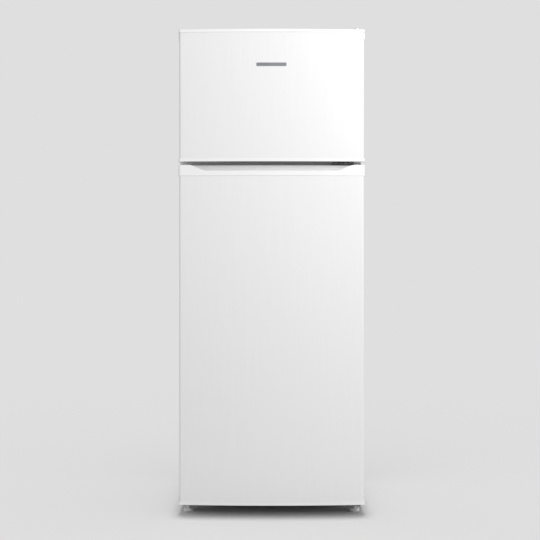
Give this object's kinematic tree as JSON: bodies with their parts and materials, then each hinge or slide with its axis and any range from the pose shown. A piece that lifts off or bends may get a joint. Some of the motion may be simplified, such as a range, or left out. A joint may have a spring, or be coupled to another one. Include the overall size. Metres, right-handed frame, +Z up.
{
  "type": "top freezer refrigerator",
  "caption": "Tall slim top-freezer refrigerator with bowed white doors, a recessed scoop handle, shelves, door racks, crisper, and a compressor and wire condenser behind.",
  "frame": {"origin": "on the floor, at the middle of the footprint of doors, cabinet and condenser", "axes": "+Z up, -Y towards the doors' front, +X to the right seen from the front, where the hinges are"},
  "size_m": [0.55, 0.555, 1.4415],
  "materials": {
    "cabinet_paint": "satin",
    "door_paint": "gloss",
    "cap_plastic": "gloss",
    "liner_plastic": "satin",
    "rigid_foam": "matte",
    "shelf_glass": "gloss",
    "clear_plastic": "gloss",
    "trim_plastic": "satin",
    "knob_plastic": "satin",
    "switch_plastic": "satin",
    "diffuser_plastic": "satin",
    "lamp_glass": "gloss",
    "gasket_vinyl": "matte",
    "coated_wire": "gloss",
    "zinc_steel": "satin",
    "black_paint": "satin",
    "hinge_paint": "matte",
    "black_plastic": "matte",
    "copper": "satin",
    "black_rubber": "matte",
    "aluminium_sheet": "satin",
    "foot_plastic": "matte",
    "roller_plastic": "matte",
    "white_nylon": "matte",
    "tray_plastic": "matte",
    "badge_metal": "satin"
  },
  "bodies": {
    "cabinet": {"outer_shell": "cabinet_paint", "back_panel": "zinc_steel", "insulation_foam": "rigid_foam", "freezer_liner": "liner_plastic", "fridge_liner": "liner_plastic", "mullion_cover": "cabinet_paint", "evaporators": "aluminium_sheet", "under_panel": "zinc_steel", "base_rail": "hinge_paint", "left_foot_bracket": "hinge_paint", "compressor_tray": "black_paint", "compressor": "black_paint", "compressor_grommets": "black_rubber", "starter_cover": "black_plastic", "drip_tray": "tray_plastic", "drain_tube": "tray_plastic", "condenser_tube": "black_paint", "condenser_wires": "black_paint", "condenser_brackets": "black_plastic", "filter_drier": "copper", "refrigerant_lines": "copper", "thermostat_housing": "trim_plastic", "lamp": "lamp_glass", "light_cover": "diffuser_plastic", "switch_housing": "trim_plastic", "glass_shelves": "shelf_glass", "shelf_trims": "trim_plastic", "freezer_shelf": "coated_wire", "top_hinge": "zinc_steel", "top_hinge_cover": "cap_plastic", "middle_hinge": "hinge_paint", "bottom_hinge": "hinge_paint", "hinge_screws": "zinc_steel", "hinge_hole_plugs": "white_nylon", "roller_axles": "zinc_steel"},
    "freezer_door": {"freezer_door_panel": "door_paint", "freezer_door_top_cap": "cap_plastic", "freezer_door_bottom_cap": "cap_plastic", "freezer_door_foam": "rigid_foam", "freezer_door_liner": "liner_plastic", "freezer_door_gasket": "gasket_vinyl", "freezer_door_racks": "clear_plastic", "freezer_door_bushes": "white_nylon", "badge_plate": "badge_metal"},
    "fridge_door": {"fridge_door_panel": "door_paint", "fridge_door_handle_cap": "cap_plastic", "fridge_door_bottom_cap": "cap_plastic", "fridge_door_foam": "rigid_foam", "fridge_door_liner": "liner_plastic", "fridge_door_gasket": "gasket_vinyl", "fridge_door_racks": "clear_plastic", "fridge_door_bushes": "white_nylon"},
    "thermostat_knob": {"thermostat_knob": "knob_plastic"},
    "light_switch": {"light_switch": "switch_plastic"},
    "crisper_drawer": {"crisper_drawer": "clear_plastic"},
    "front_left_foot": {"front_left_foot": "foot_plastic"},
    "front_right_foot": {"front_right_foot": "foot_plastic"},
    "rear_left_roller": {"rear_left_roller": "roller_plastic"},
    "rear_right_roller": {"rear_right_roller": "roller_plastic"}
  },
  "joints": [
    {"name": "freezer_door_hinge", "type": "hinge", "parent": "cabinet", "child": "freezer_door", "pos_m": [0.252, -0.243, 1.2], "axis": [0, 0, 1], "range_deg": [0, 130]},
    {"name": "fridge_door_hinge", "type": "hinge", "parent": "cabinet", "child": "fridge_door", "pos_m": [0.252, -0.243, 0.5], "axis": [0, 0, 1], "range_deg": [0, 130]},
    {"name": "thermostat_turn", "type": "hinge", "parent": "cabinet", "child": "thermostat_knob", "pos_m": [0, -0.106, 0.987], "axis": [0, -1, 0], "range_deg": [-135, 135]},
    {"name": "light_switch_travel", "type": "slide", "parent": "cabinet", "child": "light_switch", "axis": [0, -1, 0], "range_m": [0, 0.006]},
    {"name": "crisper_slide", "type": "slide", "parent": "cabinet", "child": "crisper_drawer", "axis": [0, -1, 0], "range_m": [0, 0.01]},
    {"name": "front_left_foot_travel", "type": "slide", "parent": "cabinet", "child": "front_left_foot", "axis": [0, 0, -1], "range_m": [0, 0.012]},
    {"name": "front_right_foot_travel", "type": "slide", "parent": "cabinet", "child": "front_right_foot", "axis": [0, 0, -1], "range_m": [0, 0.012]},
    {"name": "rear_left_roller_spin", "type": "hinge", "parent": "cabinet", "child": "rear_left_roller", "pos_m": [-0.235, 0.205, 0.015], "axis": [1, 0, 0], "continuous": true},
    {"name": "rear_right_roller_spin", "type": "hinge", "parent": "cabinet", "child": "rear_right_roller", "pos_m": [0.235, 0.205, 0.015], "axis": [1, 0, 0], "continuous": true}
  ],
  "couplings": [
    {"joint": "light_switch_travel", "follows": "fridge_door_hinge", "m_per_rad": 0.00264}
  ]
}
